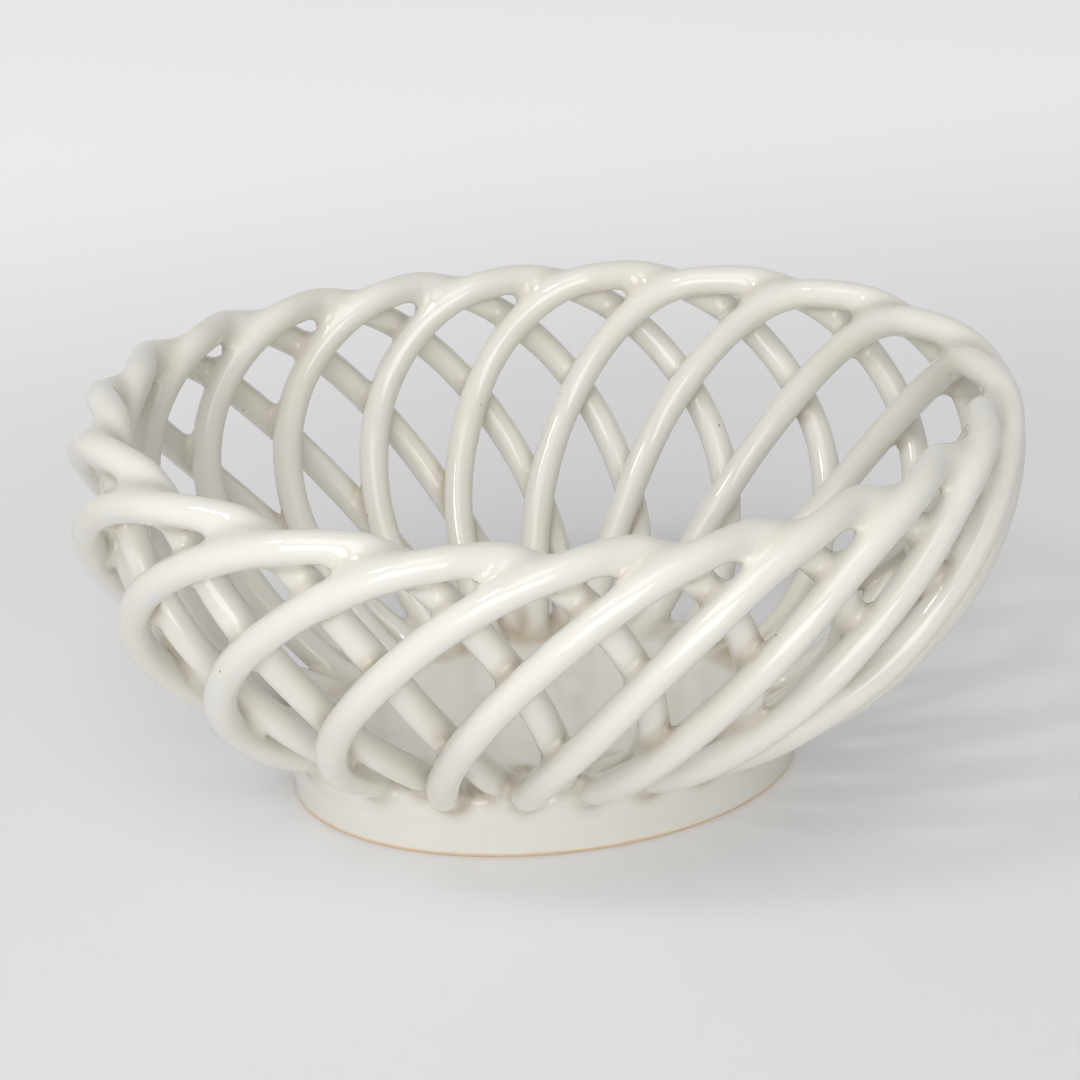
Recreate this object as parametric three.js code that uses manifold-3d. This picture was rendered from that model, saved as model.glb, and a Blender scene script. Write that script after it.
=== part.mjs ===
// An oval openwork bowl of round clay coils, standing on a slab with a foot ring.
// Millimetres, +Z up. The origin is the middle of the foot's underside, and the
// long axis of the oval lies along X.
//
// Each coil is one arch. It rises from the slab on the outside of the wall, leans
// anticlockwise as it climbs, runs over the rim, dives to the inside of the wall and
// comes down to the slab further round. The coils cross each other as a lattice.

import * as THREE from 'three';
import { mergeVertices } from 'three/addons/utils/BufferGeometryUtils.js';
import Module from 'manifold-3d';

// Wall: ovals through the middle of the wall, at the rim and at its root. The root lies
// inside the slab, this far under its top.
const rimHalfLength = 135;
const rimHalfWidth = 111;
const rootHalfLength = 70;
const rootHalfWidth = 48;
const rootDepth = 3;

// Heights of the coils' middle line at the rim. The rim rises at the two ends of the
// oval and dips at its sides by the sway.
const rimHeight = 121.2;
const rimSway = 1.5;

// Coils. Each leg's angle is how far it goes round the bowl between slab and rim.
const coilCount = 20;
const coilDiameter = 9.4;
const firstCoilAngle = 153.2;
const outerLegAngle = 55.2;
const innerLegAngle = 29.4;

// Slab and foot ring.
const slabHalfLength = 85;
const slabHalfWidth = 63;
const slabThickness = 10;
const slabEdgeRadius = 3.5;
const floorDish = 2;
const footHalfLength = 80;
const footHalfWidth = 58;
const footHeight = 10.7;
const footWidth = 11;
const footEdgeRadius = 2;

// Clearance between two pieces that are fired together.
const seatGap = 0.3;

// How far a cutting body reaches past what it cuts.
const cutOverrun = 10;

// Bow of the wall between root and rim: the two handles of a cubic curve. Each is a
// share of the way from the root's oval to the rim's oval, and of the way up.
const wallFlareShares = [0.25, 1.21];
const wallClimbShares = [0.05, 0.46];

// Shape of a leg: how the climb grows with the way round, as superellipse powers.
const outerLegPowers = { sweep: 2.16, climb: 1.6 };
const innerLegPowers = { sweep: 1.75, climb: 2.45 };

// Change of layer at the rim: its middle, before the top of the arch, and its half span.
const crossoverLeadAngle = 4;
const crossoverHalfAngle = 6.5;

// The two layers draw together where the legs reach the slab, by a share of their
// offset that fades over a height above it.
const footDrawShare = 0.55;
const footDrawHeight = 10;

// Dish of the floor: its flat middle is a share of the width inside the feet, and half
// way out from there it has risen by a share of its depth.
const dishFlatShare = 0.5;
const dishRiseShare = 0.25;

// Facets.
const coilSides = 8;
const coilSteps = 28;
const ovalSegments = 40;
const edgeSteps = 2;
const denserTopShare = 0.4;

// Share of the wall's section that its slope is read over, either way.
const probeShare = 0.001;

// Steps in which each coil's length is measured.
const lengthSteps = 400;

// Sizes that follow.
const coilRadius = coilDiameter / 2;
const coilCornerRadius = facetRadius(coilRadius, coilSides);
const layerOffset = coilCornerRadius + seatGap / 2;
const slabUnderside = footHeight + seatGap;
const slabTop = slabUnderside + slabThickness;
const wallRoot = slabTop - rootDepth;
const coilSeat = slabTop + seatGap;
const archAngle = outerLegAngle + innerLegAngle;

const wasm = await Module();
wasm.setup();

function radians(degrees) {
  return THREE.MathUtils.degToRad(degrees);
}

// The point of an oval in a given direction, seen from its middle.
function ovalPoint(halfLength, halfWidth, angle) {
  const across = Math.hypot(halfWidth * Math.cos(angle), halfLength * Math.sin(angle));
  const distance = (halfLength * halfWidth) / across;
  return new THREE.Vector2(distance * Math.cos(angle), distance * Math.sin(angle));
}

// The direction square to an oval at one of its points, pointing outwards.
function ovalNormal(halfLength, halfWidth, point) {
  return new THREE.Vector2(point.x / halfLength ** 2, point.y / halfWidth ** 2).normalize();
}

function cubicShare(from, shares, to, along) {
  const curve = new THREE.CubicBezierCurve(
    new THREE.Vector2(from, from),
    new THREE.Vector2(shares[0], shares[0]),
    new THREE.Vector2(shares[1], shares[1]),
    new THREE.Vector2(to, to),
  );
  return curve.getPoint(along).x;
}

// The middle of the wall in a given direction, at a share of the section's curve from
// root to rim, and the way round the oval there.
function wallMiddle(angle, along) {
  const flare = cubicShare(0, wallFlareShares, 1, along);
  const climb = cubicShare(0, wallClimbShares, 1, along);
  const halfLength = THREE.MathUtils.lerp(rootHalfLength, rimHalfLength, flare);
  const halfWidth = THREE.MathUtils.lerp(rootHalfWidth, rimHalfWidth, flare);
  const rim = rimHeight + rimSway * Math.cos(2 * angle);
  const plan = ovalPoint(halfLength, halfWidth, angle);
  const outwards = ovalNormal(halfLength, halfWidth, plan);
  return {
    point: new THREE.Vector3(plan.x, plan.y, THREE.MathUtils.lerp(wallRoot, rim, climb)),
    round: new THREE.Vector3(-outwards.y, outwards.x, 0),
  };
}

// A point of one of the wall's two layers: 1 is the outer one, -1 the inner one.
function layerPoint(angle, along, layer) {
  const { point, round } = wallMiddle(angle, along);
  const below = wallMiddle(angle, Math.max(0, along - probeShare)).point;
  const above = wallMiddle(angle, Math.min(1, along + probeShare)).point;
  const outwards = round.cross(above.sub(below)).normalize();
  const lift = Math.max(0, point.z - slabTop);
  const drawn = 1 - footDrawShare * Math.exp(-lift / footDrawHeight);
  return point.addScaledVector(outwards, layer * drawn * layerOffset);
}

// The middle line of a coil, from its outer foot over the rim to its inner foot.
class CoilCurve extends THREE.Curve {
  constructor(footAngle) {
    super();
    this.footAngle = footAngle;
    this.arcLengthDivisions = lengthSteps;
  }

  getPoint(t, target = new THREE.Vector3()) {
    const turned = t * archAngle;
    const pastTop = turned - outerLegAngle;
    const along = pastTop < 0
      ? CoilCurve.outerLeg(-pastTop / outerLegAngle)
      : CoilCurve.innerLeg(pastTop / innerLegAngle);
    const layer = -Math.tanh((pastTop + crossoverLeadAngle) / crossoverHalfAngle);
    const angle = radians(this.footAngle + turned);
    return target.copy(layerPoint(angle, along, layer));
  }

  // Even steps along the coil, drawn together where it bends over the rim.
  getUtoTmapping(u, distance) {
    return THREE.MathUtils.lerp(super.getUtoTmapping(u, distance), u, denserTopShare);
  }

  static outerLeg(beforeTop) {
    const { sweep, climb } = outerLegPowers;
    return Math.max(0, 1 - beforeTop ** sweep) ** (1 / climb);
  }

  static innerLeg(pastTop) {
    const { sweep, climb } = innerLegPowers;
    return Math.max(0, 1 - pastTop ** sweep) ** (1 / climb);
  }
}

function polygon(radius, sides) {
  const corners = [];
  for (let i = 0; i < sides; i += 1) {
    const angle = ((i + 0.5) / sides) * 2 * Math.PI;
    corners.push(new THREE.Vector2(radius * Math.cos(angle), radius * Math.sin(angle)));
  }
  return new THREE.Shape(corners);
}

// The radius of a many-sided section with the same area as a round one.
function facetRadius(radius, sides) {
  const wedge = (2 * Math.PI) / sides;
  return radius * Math.sqrt(wedge / Math.sin(wedge));
}

function tubeGeometry(curve, radius) {
  return new THREE.ExtrudeGeometry(polygon(radius, coilSides), {
    steps: coilSteps,
    extrudePath: curve,
    bevelEnabled: false,
  });
}

function solidOf(geometry) {
  const bare = geometry.clone();
  bare.deleteAttribute('normal');
  bare.deleteAttribute('uv');
  const merged = mergeVertices(bare);
  return new wasm.Manifold(new wasm.Mesh({
    numProp: 3,
    vertProperties: merged.attributes.position.array,
    triVerts: merged.index.array,
  }));
}

function geometryOf(solid) {
  const mesh = solid.getMesh();
  const geometry = new THREE.BufferGeometry();
  geometry.setAttribute('position', new THREE.BufferAttribute(mesh.vertProperties, 3));
  geometry.setIndex(new THREE.BufferAttribute(mesh.triVerts, 1));
  geometry.computeVertexNormals();
  return geometry;
}

// Everything below the plane that the coils' feet are seated on.
function groundSolid() {
  const width = 2 * (rimHalfLength + cutOverrun);
  const box = new THREE.BoxGeometry(width, width, coilSeat);
  box.translate(0, 0, coilSeat / 2);
  return solidOf(box);
}

function coilAngle(index) {
  return firstCoilAngle + (index * 360) / coilCount;
}

// A coil with its feet cut flat, and notched where later coils press into it.
function coilGeometry(index, ground) {
  let coil = solidOf(tubeGeometry(new CoilCurve(coilAngle(index)), coilCornerRadius));
  coil = coil.subtract(ground);
  const crossings = Math.ceil((archAngle * coilCount) / 360);
  for (let step = 1; step <= crossings; step += 1) {
    const neighbour = new CoilCurve(coilAngle(index + step));
    coil = coil.subtract(solidOf(tubeGeometry(neighbour, coilCornerRadius + seatGap)));
  }
  return geometryOf(coil);
}

// Turns a round body on the Y axis upright.
function upright(geometry) {
  return geometry.rotateX(Math.PI / 2);
}

// A quarter round between two directions, for the corners of a turned section.
function corner(centreX, centreZ, radius, fromDegrees, toDegrees) {
  const points = [];
  for (let i = 0; i <= edgeSteps; i += 1) {
    const angle = radians(THREE.MathUtils.lerp(fromDegrees, toDegrees, i / edgeSteps));
    const x = centreX + radius * Math.cos(angle);
    const z = centreZ + radius * Math.sin(angle);
    points.push(new THREE.Vector2(x, z));
  }
  return points;
}

// The floor slab: flat where the feet stand, dished inside them, with a rounded edge.
function slabGeometry() {
  const edge = slabHalfLength - slabEdgeRadius;
  const feetInside = rootHalfLength - coilRadius;
  const dishFlat = feetInside * dishFlatShare;
  const dishBottom = slabTop - floorDish;
  const profile = [
    new THREE.Vector2(0, slabUnderside),
    ...corner(edge, slabUnderside + slabEdgeRadius, slabEdgeRadius, -90, 0),
    ...corner(edge, slabTop - slabEdgeRadius, slabEdgeRadius, 0, 90),
    new THREE.Vector2(feetInside, slabTop),
    new THREE.Vector2((dishFlat + feetInside) / 2, dishBottom + floorDish * dishRiseShare),
    new THREE.Vector2(dishFlat, dishBottom),
    new THREE.Vector2(0, dishBottom),
  ];
  const slab = upright(new THREE.LatheGeometry(profile, ovalSegments));
  return slab.scale(1, slabHalfWidth / slabHalfLength, 1);
}

// The foot ring: one closed section carried round the oval, as wide at the sides as at
// the ends.
function footGeometry() {
  const outer = footHalfLength - footEdgeRadius;
  const inner = footHalfLength - footWidth + footEdgeRadius;
  const high = footHeight - footEdgeRadius;
  const profile = [
    ...corner(inner, footEdgeRadius, footEdgeRadius, 180, 270),
    ...corner(outer, footEdgeRadius, footEdgeRadius, 270, 360),
    ...corner(outer, high, footEdgeRadius, 0, 90),
    ...corner(inner, high, footEdgeRadius, 90, 180),
  ];
  profile.push(profile[0].clone());
  const ring = upright(new THREE.LatheGeometry(profile, ovalSegments));
  const position = ring.attributes.position;
  for (let i = 0; i < position.count; i += 1) {
    const x = position.getX(i);
    const y = position.getY(i);
    const plan = ovalPoint(footHalfLength, footHalfWidth, Math.atan2(y, x));
    const outwards = ovalNormal(footHalfLength, footHalfWidth, plan);
    plan.addScaledVector(outwards, Math.hypot(x, y) - footHalfLength);
    position.setXY(i, plan.x, plan.y);
  }
  return ring;
}

function glaze() {
  return new THREE.MeshStandardMaterial({ color: '#edeade', roughness: 0.16, metalness: 0 });
}

function named(name, geometry, material) {
  const mesh = new THREE.Mesh(geometry, material);
  mesh.name = name;
  return mesh;
}

const bowl = new THREE.Group();
bowl.add(named('foot_ring', geometryOf(solidOf(footGeometry())), glaze()));
bowl.add(named('floor_slab', geometryOf(solidOf(slabGeometry())), glaze()));

const ground = groundSolid();
for (let index = 0; index < coilCount; index += 1) {
  const name = `coil_${String(index + 1).padStart(2, '0')}`;
  bowl.add(named(name, coilGeometry(index, ground), glaze()));
}

export default bowl;
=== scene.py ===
"""Dresses an oval openwork bowl of glazed clay coils and lights it on a pale sweep.

The bowl's solids come from the frame. Each coil, the floor slab and the foot ring get a
fine mesh of their own, in metres, that runs into its neighbours with small fillets, as
soft clay joined with slip does. The camera stands where the photograph was taken from.
"""

import math

import bpy
import numpy as np
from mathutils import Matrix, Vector


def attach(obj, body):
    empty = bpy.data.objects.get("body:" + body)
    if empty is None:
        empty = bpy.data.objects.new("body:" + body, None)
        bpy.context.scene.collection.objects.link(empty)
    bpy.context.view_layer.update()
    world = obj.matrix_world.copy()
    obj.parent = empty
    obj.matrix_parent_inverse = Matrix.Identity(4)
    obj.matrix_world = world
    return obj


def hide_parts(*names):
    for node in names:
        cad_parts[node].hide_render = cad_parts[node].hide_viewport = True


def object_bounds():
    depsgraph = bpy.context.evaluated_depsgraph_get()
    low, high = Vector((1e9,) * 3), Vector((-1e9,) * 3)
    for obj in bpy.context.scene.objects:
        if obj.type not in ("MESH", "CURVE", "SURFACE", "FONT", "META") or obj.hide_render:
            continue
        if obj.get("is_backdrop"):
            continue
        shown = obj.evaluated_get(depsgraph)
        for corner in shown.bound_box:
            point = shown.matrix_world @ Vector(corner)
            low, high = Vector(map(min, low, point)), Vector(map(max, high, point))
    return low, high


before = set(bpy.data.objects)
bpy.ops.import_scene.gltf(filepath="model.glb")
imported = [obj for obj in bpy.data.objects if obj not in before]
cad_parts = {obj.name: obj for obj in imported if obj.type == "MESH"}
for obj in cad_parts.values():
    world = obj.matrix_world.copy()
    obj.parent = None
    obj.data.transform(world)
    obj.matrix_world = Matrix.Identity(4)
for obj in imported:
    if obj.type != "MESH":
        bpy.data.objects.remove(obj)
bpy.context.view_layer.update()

bl_info = {
    "name": "Woven Ceramic Bowl",
    "version": (1, 0, 0),
    "blender": (4, 5, 0),
    "location": "View3D > Sidebar > Bowl",
    "description": "Builds the coils, slab and foot of an openwork bowl, and its stage",
    "category": "Object",
}

COIL_NODES = sorted(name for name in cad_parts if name.startswith("coil_"))
SLAB_NODE = "floor_slab"
RING_NODE = "foot_ring"

# Bow of the wall's section and shape of a leg, as in the solids. The handles of the bow are
# shares of the way from root to rim, and the powers are those of a superellipse.
WALL_FLARE_SHARES = (0.25, 1.21)
WALL_CLIMB_SHARES = (0.05, 0.46)
OUTER_LEG_POWERS = (2.16, 1.6)
INNER_LEG_POWERS = (1.75, 2.45)

# How finely the coils are drawn. An end's direction is read over a few samples.
CURVE_SAMPLES = 1500
END_SAMPLES = 6
TUCK_STEPS = 11
COIL_RINGS = 340
COIL_SIDES = 32
CAP_RINGS = 4
PROBE_SHARE = 0.001

# How finely the slab and the ring are drawn. The floor's rows run from share to share of the
# way out, closer together under the feet.
OVAL_STEPS = 480
FLOOR_ROWS = ((0.03, 0.5, 12), (0.53, 1, 36))
SLAB_EDGE_ROWS = 9
SLAB_SIDE_ROWS = 8
UNDERSIDE_ROWS = (1, 0.9, 0.75, 0.5, 0.25, 0.05)
RING_OUTER_ROWS = 12
RING_EDGE_ROWS = 6
RING_INNER_ROWS = 5

# A coil's unevenness: seed of the first coil's random phases, and wavelengths in metres.
THICKNESS_WANDER = (100, (0.037, 0.061, 0.113))
SIDEWAYS_WANDER = (200, (0.071, 0.127))
OUTWARD_WANDER = (300, (0.053, 0.149))

# The floor is flat up to one share of the way out, and rises over the other. The groove is
# this share as deep where it is even. The slip widens with this power of the height.
DISH_FLAT_SHARE = 0.25
DISH_RISE_SHARE = 0.5
GROOVE_EVEN_SHARE = 0.6
RIM_FILLET_POWER = 6

# Search along each ray for the glazed surface. A coil's rays start on its middle line and
# are searched over a span of its radii. The slab's start a little further in than its round
# edge, and its underside stops a little short of its side. A window is how many rings either
# way are looked at for the nearest one.
SEARCH_STEPS = 14
BISECT_STEPS = 7
SEAM_STEPS = 6
WIDE_WINDOW = 9
NARROW_WINDOW = 3
NEAR_RADII = 4
COIL_SEARCH_RADII = (0.3, 2.1)
SLAB_SEARCH = (0.0002, 0.0135)
SLAB_ANCHOR_DEPTH = 0.0015
UNDERSIDE_INSET = 0.0012
FAR_AWAY = 1.0
SLOPE_STEP = 0.00005
TINY = 1e-9
TINY_SQUARE = 1e-12

# Where two pieces meet, each goes on into the other by the overlap, so that both follow the
# same joined surface past the seam, and the takeover shuts it off beyond. Two stretches of
# one coil that are fewer rings apart count once.
TAKEOVER = 1500
OVERLAP = 0.001
SEAM_SLACK = 0.00001
TWIN_RINGS = 12

# How near another piece the pooled glaze and painted shade in the crooks start, and the shares of
# them that are there all along and that come and go.
CREVICE_REACH = 0.006
EVEN_POOL_AND_SHADE = 0.45
UNEVEN_POOL_AND_SHADE = 0.55

# The glaze's gloss, the scales of its pinholes, ripples and fine orange peel, and its lower
# edge on the foot: how far it strays and over what height it runs out.
GLAZE_IOR = 1.52
SMOOTHEST_SHARE = 0.8
ROUGHEST_SHARE = 1.5
PINHOLE_DENSITY = 62
RIPPLE_SCALE = 95
RIPPLE_HEIGHT = 0.0004
PEEL_SCALE = 420
PEEL_SHARE = 0.10
RAGGED_EDGE = 0.0007
SOFT_EDGE = 0.0005
CLAY_GRAIN_SHADE = 0.82

# Kinds of sockets on the shared node groups, and a Mix node's first input and its output.
VALUE = "NodeSocketFloat"
COLOUR = "NodeSocketColor"
MIX_SOCKETS = {"FLOAT": (2, 0), "RGBA": (6, 2)}

# The lamps: place (across the view, towards the camera, up), width and height, watts, tint.
LAMP_AIM = (0, 0, 0.06)
LAMPS = {
    "key": ((-0.9, 0.6, 1.35), (0.28, 0.28), 3.3, (0.985, 0.99, 1.0)),
    "front": ((-0.3, 3.5, 1.1), (3.2, 1.8), 61, (1.0, 1.0, 1.0)),
    "top": ((-0.4, 1.6, 2.8), (1.8, 1.8), 20, (1.0, 0.995, 0.985)),
}

# The sweep: half its size, the way in which painted light makes it paler, where that starts and
# ends, its gloss and mottling, and how far below it the bowl may reach.
SWEEP_REACH = 6.0
SWEEP_PAINTED_LIGHT_WAY = (-0.25, -1, 0)
SWEEP_PAINTED_LIGHT_SPAN = (0.15, 0.75)
SWEEP_ROUGHNESS = 0.6
SWEEP_MOTTLE = 0.25
SWEEP_MOTTLE_SHADE = 0.985
SINK_LIMIT = 0.0001

# The room: the side where it is brightest, the cosine at which it is dimmest, and its colour.
ROOM_BRIGHT_WAY = (-0.55, 0.25, 0.8)
ROOM_DIM_COSINE = -0.5
ROOM_COLOUR = (1.0, 0.99, 0.98)

# Width of the camera's frame, in Blender's millimetres.
SENSOR_WIDTH = 36


def length(name, default, description):
    return bpy.props.FloatProperty(
        name=name, default=default, description=description, unit="LENGTH", subtype="DISTANCE"
    )


def turn(name, default, description):
    return bpy.props.FloatProperty(
        name=name, default=math.radians(default), description=description,
        unit="ROTATION", subtype="ANGLE",
    )


def share(name, default, description):
    return bpy.props.FloatProperty(
        name=name, default=default, description=description, min=0, max=1, subtype="FACTOR"
    )


def colour(name, default, description):
    return bpy.props.FloatVectorProperty(
        name=name, default=default, description=description, size=3, min=0, max=1, subtype="COLOR"
    )


class WallSizes(bpy.types.PropertyGroup):
    """The oval wall that the coils' middle lines lie on."""

    rim_half_length: length("Rim half length", 0.135, "Half the oval's length at the rim")
    rim_half_width: length("Rim half width", 0.111, "Half the oval's width at the rim")
    root_half_length: length("Root half length", 0.070, "Half the length where the wall starts")
    root_half_width: length("Root half width", 0.048, "Half the width where the wall starts")
    root_height: length("Root height", 0.018, "Height where the wall starts, inside the slab")
    rim_height: length("Rim height", 0.1212, "Height of the coils' middle at the rim")
    rim_sway: length("Rim sway", 0.0015, "Rise of the rim at its two ends, and dip at its sides")
    bent_angle: turn("Bent end", 171, "Where the rim was bent in before firing")
    bent_span: turn("Bent span", 28, "How far round the bend reaches")
    bent_in: length("Bent in", 0.005, "How far the bent end leans in")
    bent_up: length("Bent up", 0.0025, "How far the bent end rises")


class CoilSizes(bpy.types.PropertyGroup):
    """The round coils and the way they lean."""

    radius: length("Coil radius", 0.0047, "Half the thickness of a coil")
    first_angle: turn("First angle", 153.2, "Where the first coil's outer foot stands")
    outer_angle: turn("Outer leg", 55.2, "How far round an outer leg goes")
    inner_angle: turn("Inner leg", 29.4, "How far round an inner leg goes")
    crossover_lead: turn("Crossover lead", 4, "Middle of the change of layer, before the top")
    crossover_half: turn("Crossover half span", 6.5, "Half span of the change of layer")
    layer_offset: length("Layer offset", 0.0045, "From the wall's middle to either layer")
    draw_share: share("Foot draw", 0.55, "How much of the offset is lost at the slab")
    draw_height: length("Draw height", 0.010, "Height over which the offset comes back")
    tuck: length("Tuck", 0.0035, "How far each end runs on into the slab")
    fillet: length("Slip fillet", 0.0027, "Radius of the slip that fills the joins")
    rim_fillet: length("Rim fillet", 0.0036, "How much wider the slip is at the rim")
    draw_in: length("Foot draw-in", 0.004, "How far the outer feet are drawn in at the slab")
    draw_in_height: length("Draw-in height", 0.008, "Height over which the draw-in fades")
    thickness_wander: share("Thickness wander", 0.03, "How much a hand-rolled coil varies")
    line_wander: length("Line wander", 0.00035, "How far a coil strays from its true line")


class BaseSizes(bpy.types.PropertyGroup):
    """The floor slab and the foot ring under it."""

    slab_half_length: length("Slab half length", 0.0826, "Half the slab's length at its top")
    slab_half_width: length("Slab half width", 0.0608, "Half the slab's width at its top")
    slab_top: length("Slab top", 0.021, "Height of the slab where the coils stand")
    slab_bottom: length("Slab underside", 0.0102, "Height of the slab's underside")
    slab_taper: length("Slab taper", 0.0016, "How much narrower the slab is at its underside")
    slab_round: length("Slab edge", 0.0032, "Radius of the slab's upper edge")
    dish: length("Floor dish", 0.002, "Depth of the floor's dish")
    foot_half_length: length("Foot half length", 0.080, "Half the foot ring's length")
    foot_half_width: length("Foot half width", 0.058, "Half the foot ring's width")
    foot_top: length("Foot top", 0.0107, "Height of the foot ring")
    foot_width: length("Foot wall", 0.011, "Thickness of the foot ring")
    groove_depth: length("Groove depth", 0.0003, "Depth of the groove over the foot ring")
    groove_height: length("Groove height", 0.0016, "Half the height of that groove")
    groove_angle: turn("Groove angle", 195, "Where that groove is deepest")
    foot_flare: length("Foot flare", 0.0010, "How far the ring widens to meet the slab")
    foot_round: length("Foot edge", 0.0011, "Radius of the foot ring's lower edges")
    bare_edge: length("Bare edge", 0.0013, "Height of the unglazed line round the foot")


class GlazeLooks(bpy.types.PropertyGroup):
    """Colours and gloss of glaze and clay."""

    glaze: colour("Glaze", (0.825, 0.812, 0.752), "Cream-white glaze where it lies even")
    # Pooled glaze: glaze gathered in the crooks, darkened there with painted shade.
    pool_and_shade: colour("Pooled glaze", (0.42, 0.32, 0.19), "Glaze gathered in a crevice")
    thin: colour("Thin glaze", (0.80, 0.72, 0.58), "Glaze worn thin over the clay")
    speck: colour("Speck", (0.42, 0.26, 0.13), "Pinhole specks in the glaze")
    clay: colour("Bare clay", (0.88, 0.68, 0.46), "Unglazed clay at the foot")
    roughness: share("Glaze roughness", 0.045, "Roughness of the glaze")
    clay_roughness: share("Clay roughness", 0.8, "Roughness of the bare clay")
    patchiness: share("Patchiness", 0.22, "How far the glaze turns to the thin one in patches")
    ripple: share("Ripple", 0.35, "Strength of the ripples in the glaze")


class StageLooks(bpy.types.PropertyGroup):
    """The pale sweep, the room and the camera."""

    floor: colour("Floor", (0.78, 0.78, 0.795), "The pale sweep's colour")
    # Painted light: the far sweep is paler and glows more to the camera, as if more light fell
    # there.
    far_floor_painted_light: colour("Far floor", (0.92, 0.92, 0.94), "The sweep's colour behind the bowl")
    floor_lift: share("Floor lift", 0.15, "How much paler the floor looks than its light makes it")
    far_painted_light_lift: share("Far lift", 0.16, "How much more the far floor is lifted")
    backdrop: share("Backdrop", 0.8, "How pale the room looks behind the floor")
    dim_side: share("Dim side", 0.26, "Brightness of the room low on the right")
    bright_side: share("Bright side", 0.43, "Brightness of the room up on the left")
    camera_distance: length("Camera distance", 0.9387, "From the bowl's foot to the camera")
    camera_height: turn("Camera height", 28.3, "How far the camera looks down")
    camera_turn: turn("Camera turn", -18.96, "Which side the camera stands on")
    aim_across: length("Aim across", -0.0023, "Aim point across the view, from the axis")
    aim_height: length("Aim height", 0.07515, "Height of the aim point")
    lens: bpy.props.FloatProperty(
        name="Lens", default=100, description="Focal length of a 36 mm wide frame",
        unit="CAMERA",
    )


SETTINGS = {
    "bowl_wall": WallSizes,
    "bowl_coils": CoilSizes,
    "bowl_base": BaseSizes,
    "bowl_glaze": GlazeLooks,
    "bowl_stage": StageLooks,
}


def settings(name):
    return getattr(bpy.context.scene, name)


# Directions and ovals


def unit(vectors):
    return vectors / np.linalg.norm(vectors, axis=-1, keepdims=True)


def oval_point(half_length, half_width, angle):
    """The oval's point seen in a given direction from its middle."""
    across = np.hypot(half_width * np.cos(angle), half_length * np.sin(angle))
    distance = half_length * half_width / across
    return np.stack([distance * np.cos(angle), distance * np.sin(angle)], axis=-1)


def oval_normal(half_length, half_width, point):
    return unit(point / np.array([half_length**2, half_width**2]))


def oval_distance(where, half_length, half_width):
    """About how far points lie outside an oval, measured level."""
    scaled = np.stack([where[:, 0] / half_length, where[:, 1] / half_width], axis=-1)
    size = np.linalg.norm(scaled, axis=-1) + TINY
    steep = np.hypot(where[:, 0] / half_length**2, where[:, 1] / half_width**2) + TINY
    return (size - 1) * size / steep


# The wall and the coils' middle lines, by the same rules as the solids


def bow(shares, along):
    """A cubic curve from nought to one with the given shares as its handles."""
    back = 1 - along
    return along**3 + 3 * back**2 * along * shares[0] + 3 * back * along**2 * shares[1]


def wall_middle(angle, along):
    """The middle of the wall in a given direction, from root to rim, and the way round it."""
    wall = settings("bowl_wall")
    flare = bow(WALL_FLARE_SHARES, along)
    climb = bow(WALL_CLIMB_SHARES, along)
    half_length = wall.root_half_length + (wall.rim_half_length - wall.root_half_length) * flare
    half_width = wall.root_half_width + (wall.rim_half_width - wall.root_half_width) * flare
    rim = wall.rim_height + wall.rim_sway * np.cos(2 * angle)
    across = np.hypot(half_width * np.cos(angle), half_length * np.sin(angle))
    off_bend = np.angle(np.exp(1j * (angle - wall.bent_angle)))
    bend = np.exp(-((off_bend / wall.bent_span) ** 2)) * climb**2
    distance = half_length * half_width / across - wall.bent_in * bend
    height = wall.root_height + (rim - wall.root_height) * climb + wall.bent_up * bend
    point = np.stack([distance * np.cos(angle), distance * np.sin(angle), height], axis=-1)
    outwards = unit(np.stack([point[:, 0] / half_length**2, point[:, 1] / half_width**2], axis=-1))
    round_way = np.stack([-outwards[:, 1], outwards[:, 0], np.zeros(len(angle))], axis=-1)
    return point, round_way


def wall_frame(angle, along):
    """The wall's middle and the direction square to the wall there, pointing outwards."""
    point, round_way = wall_middle(angle, along)
    below, _ = wall_middle(angle, np.maximum(0, along - PROBE_SHARE))
    above, _ = wall_middle(angle, np.minimum(1, along + PROBE_SHARE))
    return point, unit(np.cross(round_way, above - below))


def leg_climb(turned_share, powers):
    sweep, climb = powers
    return np.maximum(0, 1 - turned_share**sweep) ** (1 / climb)


def coil_line(foot_angle):
    """Points of a coil's middle line from outer foot to inner foot, and the wall's normals."""
    coils = settings("bowl_coils")
    base = settings("bowl_base")
    turned = np.linspace(0, coils.outer_angle + coils.inner_angle, CURVE_SAMPLES)
    past_top = turned - coils.outer_angle
    outer_share = np.clip(-past_top / coils.outer_angle, 0, 1)
    inner_share = np.clip(past_top / coils.inner_angle, 0, 1)
    along = np.where(
        past_top < 0,
        leg_climb(outer_share, OUTER_LEG_POWERS),
        leg_climb(inner_share, INNER_LEG_POWERS),
    )
    layer = -np.tanh((past_top + coils.crossover_lead) / coils.crossover_half)
    point, outwards = wall_frame(foot_angle + turned, along)
    lift = np.maximum(0, point[:, 2] - base.slab_top)
    drawn = 1 - coils.draw_share * np.exp(-lift / coils.draw_height)
    point = point + outwards * (layer * drawn * coils.layer_offset)[:, None]
    inwards = coils.draw_in * np.exp(-lift / coils.draw_in_height) * np.maximum(0, layer)
    level_out = unit(outwards * [1, 1, 0])
    return tuck_ends(point - level_out * inwards[:, None], outwards)


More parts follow.
